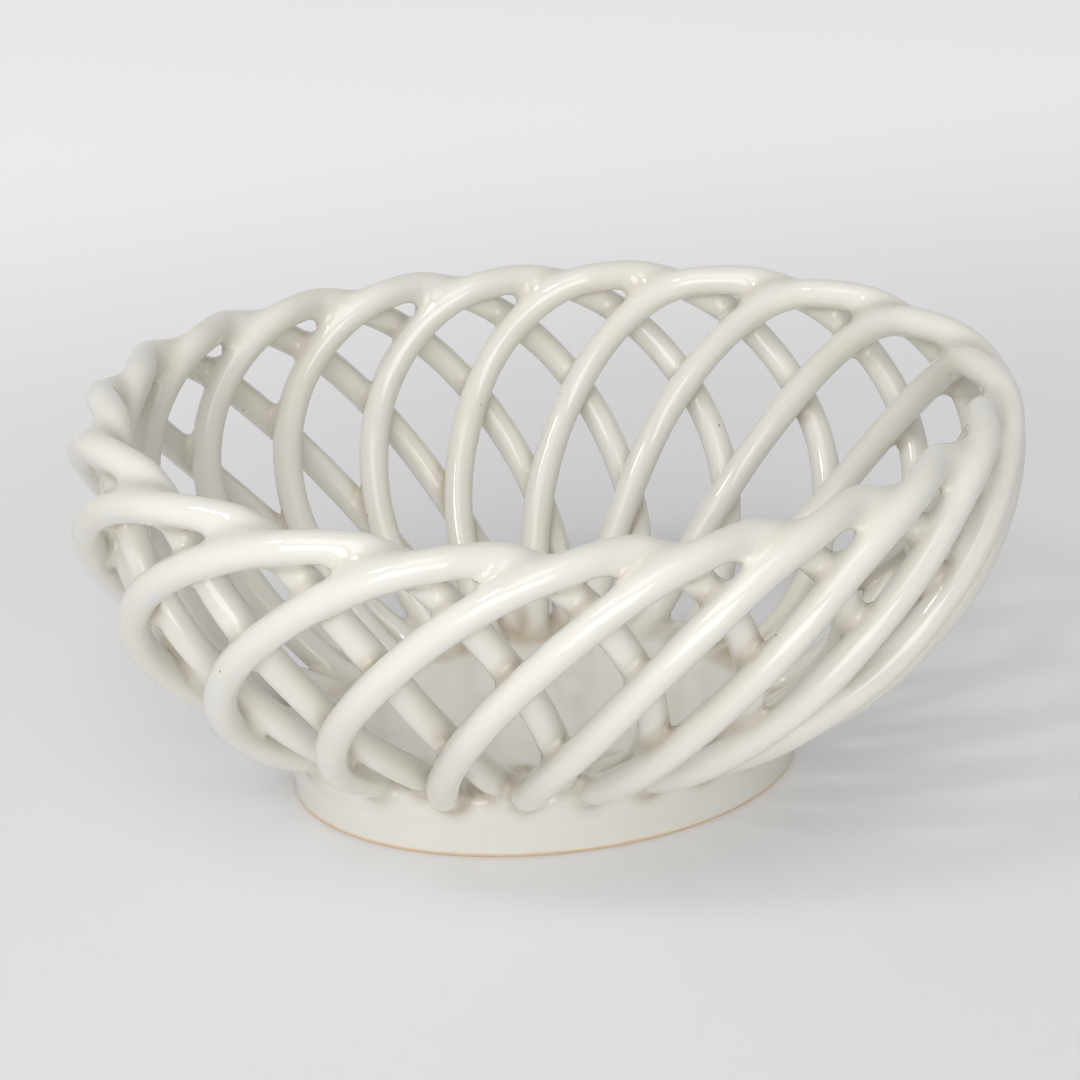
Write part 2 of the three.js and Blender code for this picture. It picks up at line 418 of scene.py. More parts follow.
def tuck_ends(point, outwards):
    """Runs both ends of a middle line on, down into the slab."""
    tuck = settings("bowl_coils").tuck
    down = np.array([0, 0, -1.0])
    steps = np.linspace(0, 1, TUCK_STEPS + 1)[1:, None]
    start = unit(unit(point[0] - point[END_SAMPLES]) + down)
    finish = unit(unit(point[-1] - point[-1 - END_SAMPLES]) + down)
    before = (point[0] + start * tuck * steps)[::-1]
    after = point[-1] + finish * tuck * steps
    first_out = np.repeat(outwards[:1], TUCK_STEPS, axis=0)
    last_out = np.repeat(outwards[-1:], TUCK_STEPS, axis=0)
    return np.vstack([before, point, after]), np.vstack([first_out, outwards, last_out])


def resample(line, normals, count):
    """The same line at even steps."""
    gaps = np.linalg.norm(np.diff(line, axis=0), axis=1)
    travelled = np.concatenate([[0], np.cumsum(gaps)])
    wanted = np.linspace(0, travelled[-1], count)
    even = np.stack([np.interp(wanted, travelled, line[:, i]) for i in range(3)], axis=-1)
    facing = np.stack([np.interp(wanted, travelled, normals[:, i]) for i in range(3)], axis=-1)
    return even, facing, wanted


def wander(distance, index, first_seed, wavelengths):
    """Slow smooth noise along a coil, from minus one to one."""
    chance = np.random.default_rng(first_seed + index)
    total = np.zeros(len(distance))
    for wavelength in wavelengths:
        total += np.sin(2 * math.pi * (distance / wavelength + chance.random()))
    return total / len(wavelengths)


class Coils:
    """All the coils' middle lines, with their radii and cross directions."""

    def __init__(self):
        sizes = settings("bowl_coils")
        lines, radii, facings = [], [], []
        for index in range(len(COIL_NODES)):
            foot_angle = sizes.first_angle + index * 2 * math.pi / len(COIL_NODES)
            line, normals, travelled = resample(*coil_line(foot_angle), COIL_RINGS)
            thick = wander(travelled, index, *THICKNESS_WANDER)
            sideways = wander(travelled, index, *SIDEWAYS_WANDER)
            outwards = wander(travelled, index, *OUTWARD_WANDER)
            tangent = unit(np.gradient(line, axis=0))
            facing = unit(normals - tangent * np.sum(normals * tangent, axis=1, keepdims=True))
            cross = np.cross(tangent, facing)
            astray = cross * sideways[:, None] + facing * outwards[:, None]
            line = line + astray * sizes.line_wander
            lines.append(line)
            facings.append(facing)
            radii.append(sizes.radius * (1 + sizes.thickness_wander * thick))
        self.lines = np.array(lines)
        self.radii = np.array(radii)
        self.facings = np.array(facings)

    def distances(self, where, coil, nearest, window):
        """How far points lie outside given coils, looked for round the nearest known ring."""
        last = self.lines.shape[1] - 1
        best = np.full(len(where), np.inf)
        best_index = nearest.copy()
        for step in range(-window, window):
            start = np.clip(nearest + step, 0, last - 1)
            here = self.lines[coil, start]
            ahead = self.lines[coil, start + 1] - here
            away = where - here
            share_along = np.clip(
                np.einsum("ij,ij->i", away, ahead) / np.einsum("ij,ij->i", ahead, ahead), 0, 1
            )
            gap = np.linalg.norm(away - ahead * share_along[:, None], axis=1)
            near = self.radii[coil, start]
            gap -= near + (self.radii[coil, start + 1] - near) * share_along
            closer = gap < best
            best = np.where(closer, gap, best)
            best_index = np.where(closer, start, best_index)
        return best, best_index


# The slab as a distance


def slab_distance(where):
    """How far points lie outside the floor slab, which is rounded at its upper edge only."""
    base = settings("bowl_base")
    below = base.slab_top - where[:, 2]
    narrowing = base.slab_taper * np.clip(below / (base.slab_top - base.slab_bottom), 0, 1)
    side = oval_distance(where, base.slab_half_length, base.slab_half_width)
    corner_x = side + narrowing + groove(where) + base.slab_round
    corner_z = floor_sink(where) - below + base.slab_round
    outside = np.hypot(np.maximum(corner_x, 0), np.maximum(corner_z, 0))
    return outside + np.minimum(np.maximum(corner_x, corner_z), 0) - base.slab_round


def groove(where):
    """Depth of the smoothed groove between slab and ring, deepest at one end."""
    base = settings("bowl_base")
    off_seam = (where[:, 2] - base.foot_top) / base.groove_height
    turned = np.arctan2(where[:, 1], where[:, 0]) - base.groove_angle
    strength = GROOVE_EVEN_SHARE + (1 - GROOVE_EVEN_SHARE) * np.cos(turned)
    return base.groove_depth * strength * np.exp(-(off_seam**2))


def floor_sink(where):
    """How far the dished floor lies under the slab's top."""
    base = settings("bowl_base")
    out = np.hypot(where[:, 0] / base.slab_half_length, where[:, 1] / base.slab_half_width)
    rise = np.clip((out - DISH_FLAT_SHARE) / DISH_RISE_SHARE, 0, 1)
    return base.dish * (1 - rise * rise * (3 - 2 * rise))


# Joined surfaces


class Neighbourhood:
    """For each point of one piece, the coils near it, so that the piece can run into them."""

    def __init__(self, coils, point_index, coil, nearest, count, own=None):
        self.coils = coils
        self.point_index = point_index
        self.coil = coil
        self.nearest = nearest
        self.count = count
        self.own = own
        order = np.lexsort((coil, point_index))
        key = point_index[order] * len(coils.lines) + coil[order]
        repeated = key[1:] == key[:-1]
        self.twins = (order[:-1][repeated], order[1:][repeated])
        order = np.argsort(point_index, kind="stable")
        sorted_points = point_index[order]
        first = np.searchsorted(sorted_points, np.arange(count))
        self.column = np.empty(len(point_index), int)
        self.column[order] = np.arange(len(order)) - first[sorted_points]
        self.columns = int(self.column.max()) + 1 if len(self.column) else 0

    def table(self, where, window):
        """Distances from each point to its near coils, and to the slab in the last column."""
        found = np.full((self.count, self.columns + 1), FAR_AWAY)
        gap, self.nearest = self.coils.distances(
            where[self.point_index], self.coil, self.nearest, window
        )
        first, second = self.twins
        met = np.abs(self.nearest[first] - self.nearest[second]) < TWIN_RINGS
        gap[second[met]] = FAR_AWAY
        found[self.point_index, self.column] = gap
        found[:, -1] = slab_distance(where)
        return found

    def joined(self, found, where):
        """The glazed surface's distance: the nearest piece, filled in where others come close."""
        sizes = settings("bowl_coils")
        up_share = where[:, 2] / settings("bowl_wall").rim_height
        fillet = sizes.fillet + sizes.rim_fillet * np.clip(up_share, 0, 1) ** RIM_FILLET_POWER
        reach = np.maximum(0, fillet[:, None] - found)
        return fillet - np.sqrt((reach**2).sum(axis=1) + TINY_SQUARE)

    def own_gaps(self, found):
        """Distances from the piece itself and from the nearest other piece."""
        rows = np.arange(self.count)
        own_column = np.full(self.count, -1) if self.own is None else self.own
        others = found.copy()
        others[rows, own_column] = FAR_AWAY
        return found[rows, own_column], others.min(axis=1)

    def signed(self, where, window):
        """The joined distance, closed off where another piece takes over from this one."""
        found = self.table(where, window)
        own_gap, other_gap = self.own_gaps(found)
        past_seam = np.maximum(0, own_gap - other_gap - OVERLAP)
        return self.joined(found, where) + TAKEOVER * past_seam**2

    def hidden(self, where):
        """Which points lie past the seam, where another piece shows instead."""
        own_gap, other_gap = self.own_gaps(self.table(where, NARROW_WINDOW))
        return own_gap > other_gap + OVERLAP + SEAM_SLACK

    def pick(self, chosen):
        """The same neighbourhood for some of its points."""
        place = np.full(self.count, -1)
        place[chosen] = np.arange(len(chosen))
        kept = place[self.point_index] >= 0
        own = None if self.own is None else self.own[chosen]
        return Neighbourhood(
            self.coils, place[self.point_index[kept]], self.coil[kept],
            self.nearest[kept], len(chosen), own,
        )

    def settle(self, start, direction, near, far):
        """Moves points out along their rays to where the joined surface is first met."""
        low = np.full(self.count, near)
        high = np.full(self.count, far)
        found = np.zeros(self.count, bool)
        shut = self.signed(start + direction * near, WIDE_WINDOW) > 0
        for step in range(1, SEARCH_STEPS + 1):
            reach = near + (far - near) * step / SEARCH_STEPS
            value = self.signed(start + direction * reach, NARROW_WINDOW)
            crossed = (~found) & (value > 0)
            high = np.where(crossed, reach, high)
            low = np.where(crossed, reach - (far - near) / SEARCH_STEPS, low)
            found |= crossed
        for _ in range(BISECT_STEPS):
            middle = (low + high) / 2
            value = self.signed(start + direction * middle[:, None], NARROW_WINDOW)
            low = np.where(value > 0, low, middle)
            high = np.where(value > 0, middle, high)
        distance = np.where(found, (low + high) / 2, far)
        distance = np.where(shut, near, distance)
        return start + direction * distance[:, None]

    def normals(self, where):
        """The direction that the joined surface faces at each point."""
        slopes = []
        for axis in range(3):
            nudge = np.zeros(3)
            nudge[axis] = SLOPE_STEP
            ahead = self.joined(self.table(where + nudge, NARROW_WINDOW), where + nudge)
            behind = self.joined(self.table(where - nudge, NARROW_WINDOW), where - nudge)
            slopes.append(ahead - behind)
        return unit(np.stack(slopes, axis=-1) + TINY_SQUARE)

    def crevice(self, where):
        """From nought in the open to one in the crook between two pieces."""
        second = np.sort(self.table(where, NARROW_WINDOW), axis=1)[:, 1]
        return np.clip(1 - second / CREVICE_REACH, 0, 1) ** 2


def fit_seams(near, starts, rays, columns, vertices, reach):
    """Slides the last seen points of a grid on to the seam with the next piece."""
    grid = np.arange(len(starts) // columns * columns).reshape(-1, columns)
    hidden = near.hidden(vertices)
    moved = np.zeros(len(starts), bool)
    for axis, shift in ((1, 1), (1, -1), (0, 1), (0, -1)):
        beside = np.roll(grid, shift, axis)
        wanted = ~hidden[grid] & hidden[beside] & ~moved[grid]
        if axis == 0:
            wrapped_row = 0 if shift > 0 else -1
            wanted[wrapped_row] = False
        chosen, aimed = grid[wanted], beside[wanted]
        if not len(chosen):
            continue
        part = near.pick(chosen)
        seen_share = np.zeros(len(chosen))
        best = vertices[chosen]
        span = 1.0
        for _ in range(SEAM_STEPS):
            span /= 2
            tried = (seen_share + span)[:, None]
            start = starts[chosen] * (1 - tried) + starts[aimed] * tried
            ray = unit(rays[chosen] * (1 - tried) + rays[aimed] * tried)
            place = part.settle(start, ray, *reach)
            seen = ~part.hidden(place)
            seen_share = np.where(seen, seen_share + span, seen_share)
            best = np.where(seen[:, None], place, best)
        vertices[chosen] = best
        moved[chosen] = True
    return hidden


def seam_faces(faces, hidden):
    """Splits the quads that cross a seam so that their seen part reaches up to it."""
    split = []
    for face in faces:
        if not 0 < sum(hidden[corner] for corner in face) < 4:
            split.append(face)
            continue
        a, b, c, d = face
        if int(hidden[a]) + int(hidden[c]) > int(hidden[b]) + int(hidden[d]):
            split.extend(((a, b, d), (b, c, d)))
        else:
            split.extend(((a, b, c), (a, c, d)))
    return split


def near_coils(coils, where, reach, skip=None):
    """Every pair of a point and a coil that comes within reach of it, with the nearest ring."""
    points, coil_of, ring_of = [], [], []
    half = coils.lines.shape[1] // 2
    for coil in range(len(coils.lines)):
        if coil == skip:
            continue
        for start in (0, half):
            rings = coils.lines[coil, start:start + half]
            squared = ((where[:, None, :] - rings[None, :, :]) ** 2).sum(axis=2)
            nearest = squared.argmin(axis=1)
            close = np.flatnonzero(squared[np.arange(len(where)), nearest] < reach**2)
            points.append(close)
            coil_of.append(np.full(len(close), coil))
            ring_of.append(nearest[close] + start)
    return np.concatenate(points), np.concatenate(coil_of), np.concatenate(ring_of)


# Meshes


def build_mesh(name, vertices, faces, normals, crevice, material):
    """An object with its own normals, and the crooks marked for pooled glaze and painted shade."""
    mesh = bpy.data.meshes.new(name)
    mesh.from_pydata(vertices.tolist(), [], faces)
    mesh.validate()
    layer = mesh.attributes.new("crevice", "FLOAT", "POINT")
    layer.data.foreach_set("value", crevice.astype(np.float32))
    mesh.shade_smooth()
    mesh.normals_split_custom_set_from_vertices(normals.tolist())
    mesh.materials.append(material)
    thing = bpy.data.objects.new(name, mesh)
    bpy.context.scene.collection.objects.link(thing)
    return thing


def band_faces(rows, columns, closed=False):
    """Quads between closed rows of points. A closed band joins its last row to its first."""
    faces = []
    for row in range(rows if closed else rows - 1):
        next_row = (row + 1) % rows
        for column in range(columns):
            beside = (column + 1) % columns
            near_side = (row * columns + column, row * columns + beside)
            far_side = (next_row * columns + beside, next_row * columns + column)
            faces.append(near_side + far_side)
    return faces


def turned_over(faces):
    """The same faces, seen from their other side."""
    return [face[::-1] for face in faces]


def pole_faces(rows, columns):
    """Triangles from the first and last rows to the two poles, which are the last points."""
    faces = []
    first_pole = rows * columns
    last_row = first_pole - columns
    for column in range(columns):
        beside = (column + 1) % columns
        faces.append((first_pole, beside, column))
        faces.append((first_pole + 1, last_row + column, last_row + beside))
    return faces


def coil_rays(line, facing):
    """The ring and the direction of each of a coil's rays, with round ends and two poles."""
    tangent = unit(np.gradient(line, axis=0))
    cross = np.cross(tangent, facing)
    around = np.arange(COIL_SIDES) / COIL_SIDES * 2 * math.pi
    spokes = (
        facing[:, None, :] * np.cos(around)[None, :, None]
        + cross[:, None, :] * np.sin(around)[None, :, None]
    )
    tilts = np.linspace(0, math.pi / 2, CAP_RINGS + 1)[1:-1]
    first_cap = [spokes[0] * math.cos(t) - tangent[0] * math.sin(t) for t in tilts[::-1]]
    last_cap = [spokes[-1] * math.cos(t) + tangent[-1] * math.sin(t) for t in tilts]
    directions = np.concatenate([first_cap, spokes, last_cap])
    ring_of_row = np.concatenate(
        [np.zeros(len(tilts), int), np.arange(len(line)), np.full(len(tilts), len(line) - 1)]
    )
    rays = np.vstack([directions.reshape(-1, 3), -tangent[:1], tangent[-1:]])
    ring = np.concatenate([np.repeat(ring_of_row, COIL_SIDES), [0, len(line) - 1]])
    return ring, rays, len(directions)


def coil_neighbourhood(coils, index, ring):
    """The coils near each ray of one coil. Its own coil comes first, in column nought."""
    line = coils.lines[index]
    reach = NEAR_RADII * settings("bowl_coils").radius
    near_point, near_coil, near_ring = near_coils(coils, line, reach, skip=index)
    by_ring = [np.flatnonzero(near_point == number) for number in range(len(line))]
    pairs = [by_ring[number] for number in ring]
    pair_point = np.repeat(np.arange(len(ring)), [len(pair) for pair in pairs])
    picked = np.concatenate(pairs)
    return Neighbourhood(
        coils,
        np.concatenate([np.arange(len(ring)), pair_point]),
        np.concatenate([np.full(len(ring), index), near_coil[picked]]),
        np.concatenate([ring, near_ring[picked]]),
        len(ring),
        own=np.zeros(len(ring), int),
    )


def coil_mesh(coils, index, material):
    """One coil as a fine tube with round ends, run into whatever it touches."""
    line = coils.lines[index]
    ring, rays, rows = coil_rays(line, coils.facings[index])
    starts = line[ring]
    near = coil_neighbourhood(coils, index, ring)
    reach = [span * settings("bowl_coils").radius for span in COIL_SEARCH_RADII]
    vertices = near.settle(starts, rays, *reach)
    hidden = fit_seams(near, starts, rays, COIL_SIDES, vertices, reach)
    faces = seam_faces(band_faces(rows, COIL_SIDES), hidden) + pole_faces(rows, COIL_SIDES)
    return build_mesh(
        f"{COIL_NODES[index]}_glazed", vertices, faces, near.normals(vertices),
        near.crevice(vertices), material,
    )


def oval_row(half_length, half_width, inset, around):
    """A level row of points a set distance inside an oval, and the way out from it."""
    edge = oval_point(half_length, half_width, around)
    outwards = oval_normal(half_length, half_width, edge)
    return edge - outwards * inset, outwards


def level_row(plan, height):
    """A row of points, all at one height."""
    return np.column_stack([plan, np.full(len(plan), height)])


def slab_rays(around):
    """Rays from inside the slab: up through its floor, round its upper edge and out of its side."""
    base = settings("bowl_base")
    inset = base.slab_round + SLAB_ANCHOR_DEPTH
    inner_edge, outwards = oval_row(base.slab_half_length, base.slab_half_width, inset, around)
    flat_out = level_row(outwards, 0)
    up = np.tile([0, 0, 1.0], (OVAL_STEPS, 1))
    anchor_height = base.slab_top - inset
    starts, rays = [], []
    for out_share in np.concatenate([np.linspace(*rows) for rows in FLOOR_ROWS]):
        starts.append(level_row(inner_edge * out_share, anchor_height))
        rays.append(up)
    for tilt in np.linspace(0, math.pi / 2, SLAB_EDGE_ROWS + 1)[1:]:
        starts.append(level_row(inner_edge, anchor_height))
        rays.append(up * math.cos(tilt) + flat_out * math.sin(tilt))
    for height in np.linspace(anchor_height, base.slab_bottom, SLAB_SIDE_ROWS + 1)[1:]:
        starts.append(level_row(inner_edge, height))
        rays.append(flat_out)
    return np.vstack(starts), np.vstack(rays)


def slab_underside(around):
    """Level rows of points under the slab, from its lower edge to its middle."""
    base = settings("bowl_base")
    inset = base.slab_taper + UNDERSIDE_INSET
    edge, _ = oval_row(base.slab_half_length, base.slab_half_width, inset, around)
    return np.vstack([level_row(edge * part, base.slab_bottom) for part in UNDERSIDE_ROWS])


def slab_mesh(coils, material):
    """The floor slab, with the coils' feet smeared on to it."""
    base = settings("bowl_base")
    around = np.arange(OVAL_STEPS) / OVAL_STEPS * 2 * math.pi
    starts, rays = slab_rays(around)
    reach = NEAR_RADII * settings("bowl_coils").radius
    near = Neighbourhood(coils, *near_coils(coils, starts, reach), len(starts))
    upper = near.settle(starts, rays, *SLAB_SEARCH)
    hidden = fit_seams(near, starts, rays, OVAL_STEPS, upper, SLAB_SEARCH)
    under = slab_underside(around)
    poles = [[0, 0, base.slab_top - base.dish], [0, 0, base.slab_bottom]]
    plain = len(under) + len(poles)
    down = np.tile([0, 0, -1.0], (len(under), 1))
    normals = np.vstack([near.normals(upper), down, [[0, 0, 1.0], [0, 0, -1.0]]])
    crevice = np.concatenate([near.crevice(upper), np.zeros(plain)])
    hidden = np.concatenate([hidden, np.zeros(plain, bool)])
    rows = (len(upper) + len(under)) // OVAL_STEPS
    faces = seam_faces(turned_over(band_faces(rows, OVAL_STEPS)), hidden)
    faces += turned_over(pole_faces(rows, OVAL_STEPS))
    vertices = np.vstack([upper, under, poles])
    return build_mesh(f"{SLAB_NODE}_glazed", vertices, faces, normals, crevice, material)


def ring_profile():
    """The ring's section: how far inside its outer face each point lies, and how high."""
    base = settings("bowl_base")
    edge = base.foot_round
    profile = []
    for height in np.linspace(base.foot_top, edge, RING_OUTER_ROWS):
        rise = (height - edge) / (base.foot_top - edge)
        profile.append((-base.foot_flare * rise**2, height))
    for tilt in np.linspace(0, math.pi / 2, RING_EDGE_ROWS + 1)[1:]:
        profile.append((edge - edge * math.cos(tilt), edge - edge * math.sin(tilt)))
    for tilt in np.linspace(0, math.pi / 2, RING_EDGE_ROWS + 1):
        inset = base.foot_width - edge + edge * math.sin(tilt)
        profile.append((inset, edge - edge * math.cos(tilt)))
    for height in np.linspace(edge, base.foot_top, RING_INNER_ROWS + 1)[1:]:
        profile.append((base.foot_width, height))
    return profile


def ring_mesh(material):
    """The foot ring: a low wall that widens a little to meet the slab."""
    base = settings("bowl_base")
    around = np.arange(OVAL_STEPS) / OVAL_STEPS * 2 * math.pi
    rows = []
    for inset, height in ring_profile():
        plan, outwards = oval_row(base.foot_half_length, base.foot_half_width, inset, around)
        row = level_row(plan, height)
        if inset < base.foot_width / 2:
            row[:, :2] -= outwards * groove(row)[:, None]
        rows.append(row)
    grid = np.array(rows)
    down_profile = np.gradient(grid, axis=0)
    round_oval = np.roll(grid, -1, axis=1) - np.roll(grid, 1, axis=1)
    normals = unit(np.cross(down_profile, round_oval)).reshape(-1, 3)
    vertices = grid.reshape(-1, 3)
    faces = turned_over(band_faces(len(rows), OVAL_STEPS, closed=True))
    crevice = np.zeros(len(vertices))
    return build_mesh(f"{RING_NODE}_glazed", vertices, faces, normals, crevice, material)


# Glaze


def node(tree, kind, **values):
    """A new shader node with its own settings."""
    made = tree.nodes.new(kind)
    for name, value in values.items():
        setattr(made, name, value)
    return made


def feed(tree, socket, value):
    """Links a socket to another, or gives it a plain value."""
    if isinstance(value, bpy.types.NodeSocket):
        tree.links.new(value, socket)
    elif socket.type == "RGBA":
        socket.default_value = (*value, 1)
    else:
        socket.default_value = value


def ramp(tree, value, low, high):
    """A smooth step from nought at low to one at high."""
    made = node(tree, "ShaderNodeMapRange", interpolation_type="SMOOTHSTEP")
    feed(tree, made.inputs["Value"], value)
    feed(tree, made.inputs["From Min"], low)
    feed(tree, made.inputs["From Max"], high)
    return made.outputs["Result"]


def spread(tree, value, start, lowest, highest):
    """A straight run from lowest, where the value is start, to highest, where it is one."""
    made = node(tree, "ShaderNodeMapRange")
    feed(tree, made.inputs["Value"], value)
    feed(tree, made.inputs["From Min"], start)
    feed(tree, made.inputs["To Min"], lowest)
    feed(tree, made.inputs["To Max"], highest)
    return made.outputs["Result"]


def blend(tree, amount, first, second, kind="FLOAT"):
    """A value or a colour between two others. The Mix node has sockets for every kind."""
    made = node(tree, "ShaderNodeMix", data_type=kind)
    first_input, output = MIX_SOCKETS[kind]
    feed(tree, made.inputs[0], amount)
    feed(tree, made.inputs[first_input], first)
    feed(tree, made.inputs[first_input + 1], second)
    return made.outputs[output]


def blend_colour(tree, amount, first, second):
    return blend(tree, amount, first, second, "RGBA")


def dot(tree, place, way):
    """How far a point lies in a given direction."""
    made = node(tree, "ShaderNodeVectorMath", operation="DOT_PRODUCT")
    feed(tree, made.inputs[0], place)
    feed(tree, made.inputs[1], way)
    return made.outputs["Value"]


def own_place(tree):
    """Where a point lies on its object."""
    return node(tree, "ShaderNodeTexCoord").outputs["Object"]


def noise(tree, scale, detail):
    made = node(tree, "ShaderNodeTexNoise")
    feed(tree, made.inputs["Vector"], own_place(tree))
    feed(tree, made.inputs["Scale"], scale)
    feed(tree, made.inputs["Detail"], detail)
    return made.outputs["Fac"]


def math_node(tree, operation, *values):
    made = node(tree, "ShaderNodeMath", operation=operation)
    for socket, value in zip(made.inputs, values):
        feed(tree, socket, value)
    return made.outputs[0]


def new_group(name, inputs, outputs):
    """An empty shader node group with named sockets, and what goes in and out inside it."""
    group = bpy.data.node_groups.new(name, "ShaderNodeTree")
    for way, sockets in (("INPUT", inputs), ("OUTPUT", outputs)):
        for label, kind in sockets.items():
            group.interface.new_socket(label, in_out=way, socket_type=kind)
    return group, node(group, "NodeGroupInput").outputs, node(group, "NodeGroupOutput").inputs


def pinhole_group(name):
    """Small dark pinholes scattered in the glaze: a mask from nought to one."""
    group, given, out = new_group(name, {"Density": VALUE}, {"Mask": VALUE})
    cells = node(group, "ShaderNodeTexVoronoi")
    feed(group, cells.inputs["Vector"], own_place(group))
    feed(group, cells.inputs["Scale"], given["Density"])
    feed(group, out["Mask"], ramp(group, cells.outputs["Distance"], low=0.034, high=0.018))
    return group


def waviness_group(name):
    """Slow ripples and fine orange peel in the glaze, as one height."""
    group, given, out = new_group(
        name, {"Ripple scale": VALUE, "Peel scale": VALUE, "Peel share": VALUE}, {"Height": VALUE}
    )
    slow = noise(group, scale=given["Ripple scale"], detail=1.5)
    fine = noise(group, scale=given["Peel scale"], detail=1)
    fine_part = math_node(group, "MULTIPLY", fine, given["Peel share"])
    feed(group, out["Height"], math_node(group, "ADD", slow, fine_part))
    return group


def uneven_glaze_group(name):
    """Glaze that lies thin in patches and gathers here and there in the crooks, with painted shade
    there.
    """
    group, given, out = new_group(
        name,
        {"Even": COLOUR, "Thin": COLOUR, "Pooled_and_shaded": COLOUR, "Patchiness": VALUE, "Roughness": VALUE},
        {"Color": COLOUR, "Roughness": VALUE},
    )
    patchy = ramp(group, noise(group, scale=22, detail=2), low=0.42, high=0.75)
    warm_part = math_node(group, "MULTIPLY", patchy, given["Patchiness"])
    tint = blend_colour(group, warm_part, given["Even"], given["Thin"])

    # Painted shade with some real pooled glaze: the crooks between pieces darken towards the pooled
    # colour.
    crook = node(group, "ShaderNodeAttribute", attribute_name="crevice").outputs["Fac"]
    uneven = ramp(group, noise(group, scale=34, detail=2), low=0.42, high=0.62)
    thickness = math_node(group, "MULTIPLY_ADD", uneven, UNEVEN_POOL_AND_SHADE, EVEN_POOL_AND_SHADE)
    gathered_and_shaded = math_node(group, "MULTIPLY", crook, thickness)
    feed(group, out["Color"], blend_colour(group, gathered_and_shaded, tint, given["Pooled_and_shaded"]))

    smoothest = math_node(group, "MULTIPLY", given["Roughness"], SMOOTHEST_SHARE)
    roughest = math_node(group, "MULTIPLY", given["Roughness"], ROUGHEST_SHARE)
    mottled = noise(group, scale=60, detail=2)
    feed(group, out["Roughness"], spread(group, mottled, 0, smoothest, roughest))
    return group


def new_material(name):
    """A material, its node tree and its shader's sockets."""
    material = bpy.data.materials.new(name)
    material.use_nodes = True
    tree = material.node_tree
    return material, tree, tree.nodes["Principled BSDF"].inputs


def effect(tree, name, build, values):
    """A shared node group, built once, in a material that gives it values of its own."""
    made = node(tree, "ShaderNodeGroup", node_tree=bpy.data.node_groups.get(name) or build(name))
    for label, value in values.items():
        feed(tree, made.inputs[label], value)
    return made.outputs


def bare_foot(tree, tint, roughness):
    """Adds rougher bare clay below a slightly ragged lower edge of the glaze."""
    looks = settings("bowl_glaze")
    bare_edge = settings("bowl_base").bare_edge
    height = node(tree, "ShaderNodeSeparateXYZ")
    feed(tree, height.inputs["Vector"], own_place(tree))
    ragged = math_node(tree, "MULTIPLY", noise(tree, scale=130, detail=3), RAGGED_EDGE)
    level = math_node(tree, "SUBTRACT", height.outputs["Z"], ragged)
    bare = ramp(tree, level, low=bare_edge, high=bare_edge - SOFT_EDGE)
    dark_clay = [part * CLAY_GRAIN_SHADE for part in looks.clay]
    clay = blend_colour(tree, noise(tree, scale=900, detail=3), looks.clay, dark_clay)
    tint = blend_colour(tree, bare, tint, clay)
    return tint, blend(tree, bare, roughness, looks.clay_roughness)


def glaze_material(name, foot=False):
    """Glossy cream glaze: warmer where it thins, darker and warmer in the crooks from pooled glaze
    and painted shade, and bare clay under the foot.
    """
    looks = settings("bowl_glaze")
    material, tree, sockets = new_material(name)
    feed(tree, sockets["IOR"], GLAZE_IOR)
    surface = effect(tree, "Uneven glaze", uneven_glaze_group, {
        "Even": looks.glaze, "Thin": looks.thin, "Pooled_and_shaded": looks.pool_and_shade,
        "Patchiness": looks.patchiness, "Roughness": looks.roughness,
    })
    spots = effect(tree, "Glaze pinholes", pinhole_group, {"Density": PINHOLE_DENSITY})
    tint = blend_colour(tree, spots["Mask"], surface["Color"], looks.speck)
    roughness = surface["Roughness"]
    if foot:
        tint, roughness = bare_foot(tree, tint, roughness)
    feed(tree, sockets["Base Color"], tint)
    feed(tree, sockets["Roughness"], roughness)

    waves = effect(tree, "Glaze waviness", waviness_group, {
        "Ripple scale": RIPPLE_SCALE, "Peel scale": PEEL_SCALE, "Peel share": PEEL_SHARE,
    })
    bump = node(tree, "ShaderNodeBump")
    feed(tree, bump.inputs["Strength"], looks.ripple)
    feed(tree, bump.inputs["Distance"], RIPPLE_HEIGHT)
    feed(tree, bump.inputs["Height"], waves["Height"])
    feed(tree, sockets["Normal"], bump.outputs["Normal"])
    return material


def place_piece(thing, node_name):
    """Puts a finished piece in the frame in place of its plain solid."""
    if node_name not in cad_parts:
        raise RuntimeError(f"The frame has no {node_name} to replace")
    if not thing.data.polygons:
        raise RuntimeError(f"{thing.name} came out empty")
    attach(thing, "root")
    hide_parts(node_name)


class BOWL_OT_coils(bpy.types.Operator):
    """Roll the coils and join them where they cross"""

    bl_idname = "bowl.coils"
    bl_label = "Roll the coils"

    def execute(self, context):
        if not COIL_NODES:
            raise RuntimeError("The frame has no coils to dress")
        coils = Coils()
        material = glaze_material("coil_glaze")
        for index, node_name in enumerate(COIL_NODES):
            place_piece(coil_mesh(coils, index, material), node_name)
        return {"FINISHED"}


class BOWL_OT_slab(bpy.types.Operator):
    """Make the floor slab, with the coils' feet smeared on to it"""

    bl_idname = "bowl.slab"
    bl_label = "Make the floor slab"

    def execute(self, context):
        place_piece(slab_mesh(Coils(), glaze_material("slab_glaze")), SLAB_NODE)
        return {"FINISHED"}


class BOWL_OT_ring(bpy.types.Operator):
    """Make the foot ring, glazed down to a bare lower edge"""

    bl_idname = "bowl.ring"
    bl_label = "Make the foot ring"

    def execute(self, context):
        place_piece(ring_mesh(glaze_material("foot_glaze", foot=True)), RING_NODE)
        return {"FINISHED"}


# Stage


def seen_directly(tree):
    """One for what the camera sees itself or in a reflection, nought for light on the bowl."""
    path = node(tree, "ShaderNodeLightPath").outputs
    mirrored = math_node(tree, "MAXIMUM", path["Is Glossy Ray"], path["Is Transmission Ray"])
    return math_node(tree, "MAXIMUM", path["Is Camera Ray"], mirrored)


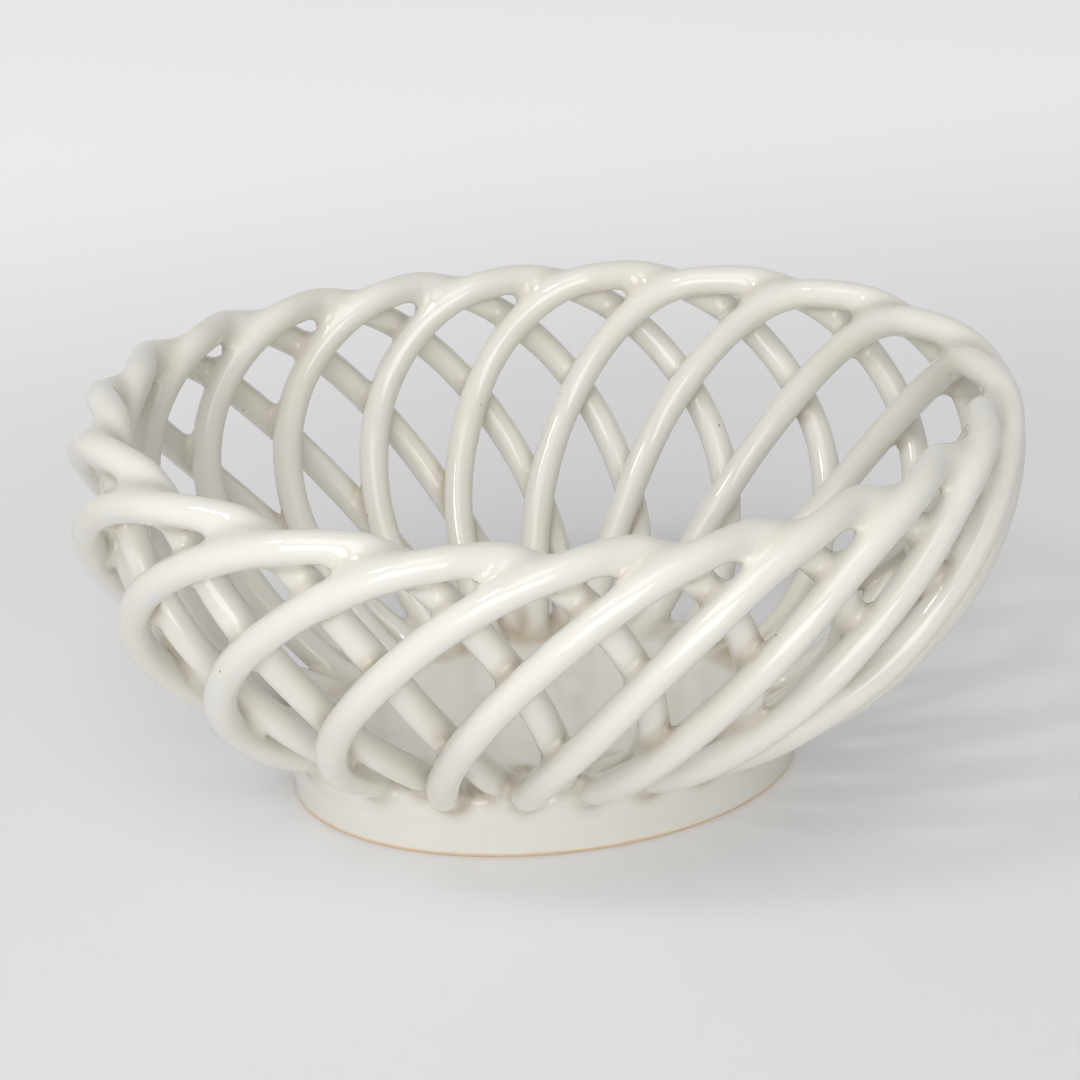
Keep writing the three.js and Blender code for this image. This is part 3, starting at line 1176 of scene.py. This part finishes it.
def sweep_material():
    """Pale paper, a little paler further back as it is in the photo."""
    looks = settings("bowl_stage")
    material, tree, sockets = new_material("pale_sweep")
    feed(tree, sockets["Roughness"], SWEEP_ROUGHNESS)
    mottled = ramp(tree, noise(tree, scale=3, detail=3), low=0.3, high=0.7)
    faint = math_node(tree, "MULTIPLY", mottled, SWEEP_MOTTLE)
    darker = [part * SWEEP_MOTTLE_SHADE for part in looks.floor]
    near_shade = blend_colour(tree, faint, looks.floor, darker)
    # Painted light: further back the sweep turns paler and glows a little more to the camera.
    starts, ends = SWEEP_PAINTED_LIGHT_SPAN
    away = dot(tree, own_place(tree), view_point(*SWEEP_PAINTED_LIGHT_WAY))
    far = ramp(tree, away, low=starts, high=ends)
    shade = blend_colour(tree, far, near_shade, looks.far_floor_painted_light)
    feed(tree, sockets["Base Color"], shade)

    painted_far_glow = math_node(tree, "MULTIPLY", far, looks.far_painted_light_lift)
    lift = math_node(tree, "ADD", painted_far_glow, looks.floor_lift)
    glow = math_node(tree, "MULTIPLY", seen_directly(tree), lift)
    feed(tree, sockets["Emission Strength"], glow)
    feed(tree, sockets["Emission Color"], looks.floor)
    return material


def sweep():
    """A wide level sheet under the bowl."""
    mesh = bpy.data.meshes.new("sweep")
    signs = ((-1, -1), (1, -1), (1, 1), (-1, 1))
    corners = [(across * SWEEP_REACH, along * SWEEP_REACH, 0) for across, along in signs]
    mesh.from_pydata(corners, [], [(0, 1, 2, 3)])
    mesh.materials.append(sweep_material())
    thing = bpy.data.objects.new("sweep", mesh)
    bpy.context.scene.collection.objects.link(thing)
    thing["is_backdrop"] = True


def aimed(thing, place, target):
    """Stands a lamp or camera somewhere, turned towards what it looks at."""
    thing.location = place
    thing.rotation_euler = (Vector(target) - Vector(place)).to_track_quat("-Z", "Y").to_euler()
    bpy.context.scene.collection.objects.link(thing)


def soft_lamp(name, place, size, watts, tint):
    """A flat rectangular lamp aimed at the bowl."""
    lamp = bpy.data.lights.new(name, "AREA")
    lamp.shape = "RECTANGLE"
    lamp.size, lamp.size_y = size
    lamp.energy = watts
    lamp.color = tint
    aimed(bpy.data.objects.new(name, lamp), place, LAMP_AIM)


def view_point(across, towards, up):
    """A place given by the camera: to its right, towards it from the bowl, and up."""
    angle = settings("bowl_stage").camera_turn
    right = Vector((math.cos(angle), math.sin(angle), 0))
    nearer = Vector((math.sin(angle), -math.cos(angle), 0))
    return right * across + nearer * towards + Vector((0, 0, up))


def studio_dome():
    """White walls all round, brightest up on the left and dimmest low on the right."""
    looks = settings("bowl_stage")
    world = bpy.data.worlds.new("studio")
    world.use_nodes = True
    tree = world.node_tree
    sockets = tree.nodes["Background"].inputs
    feed(tree, sockets["Color"], ROOM_COLOUR)
    way = node(tree, "ShaderNodeTexCoord").outputs["Generated"]
    facing = dot(tree, way, view_point(*ROOM_BRIGHT_WAY).normalized())
    level = spread(tree, facing, ROOM_DIM_COSINE, looks.dim_side, looks.bright_side)
    feed(tree, sockets["Strength"], blend(tree, seen_directly(tree), level, looks.backdrop))
    return world


def photo_camera():
    """A camera where the photograph was taken from."""
    looks = settings("bowl_stage")
    camera = bpy.data.cameras.new("photo_view")
    camera.lens = looks.lens
    camera.sensor_width = SENSOR_WIDTH
    thing = bpy.data.objects.new("photo_view", camera)
    level = looks.camera_distance * math.cos(looks.camera_height)
    height = looks.camera_distance * math.sin(looks.camera_height)
    aimed(thing, view_point(0, level, height), view_point(looks.aim_across, 0, looks.aim_height))
    return thing


class BOWL_OT_stage(bpy.types.Operator):
    """Lay the pale sweep, hang the soft lamps and set the camera"""

    bl_idname = "bowl.stage"
    bl_label = "Set the stage"

    def execute(self, context):
        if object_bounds()[0][2] < -SINK_LIMIT:
            raise RuntimeError("The bowl reaches below the sweep")
        scene = context.scene
        sweep()
        scene.world = studio_dome()
        for name, (place, size, watts, tint) in LAMPS.items():
            soft_lamp(name, view_point(*place), size, watts, tint)
        scene.camera = photo_camera()
        scene.view_settings.view_transform = "Standard"
        return {"FINISHED"}


class BOWL_PT_panel(bpy.types.Panel):
    """Lists the steps and the main sizes"""

    bl_label = "Woven bowl"
    bl_idname = "BOWL_PT_panel"
    bl_space_type = "VIEW_3D"
    bl_region_type = "UI"
    bl_category = "Bowl"

    def draw(self, context):
        for operator in OPERATORS:
            self.layout.operator(operator.bl_idname)
        for name, group in SETTINGS.items():
            box = self.layout.box()
            box.label(text=group.__doc__)
            for key in group.__annotations__:
                box.prop(settings(name), key)


OPERATORS = (BOWL_OT_coils, BOWL_OT_slab, BOWL_OT_ring, BOWL_OT_stage)
CLASSES = (*SETTINGS.values(), *OPERATORS, BOWL_PT_panel)


def register():
    for made in CLASSES:
        bpy.utils.register_class(made)
    for name, group in SETTINGS.items():
        setattr(bpy.types.Scene, name, bpy.props.PointerProperty(type=group))


def unregister():
    for name in SETTINGS:
        delattr(bpy.types.Scene, name)
    for made in reversed(CLASSES):
        bpy.utils.unregister_class(made)


def main():
    register()
    bpy.ops.bowl.coils()
    bpy.ops.bowl.slab()
    bpy.ops.bowl.ring()
    bpy.ops.bowl.stage()


if __name__ == "__main__":
    main()
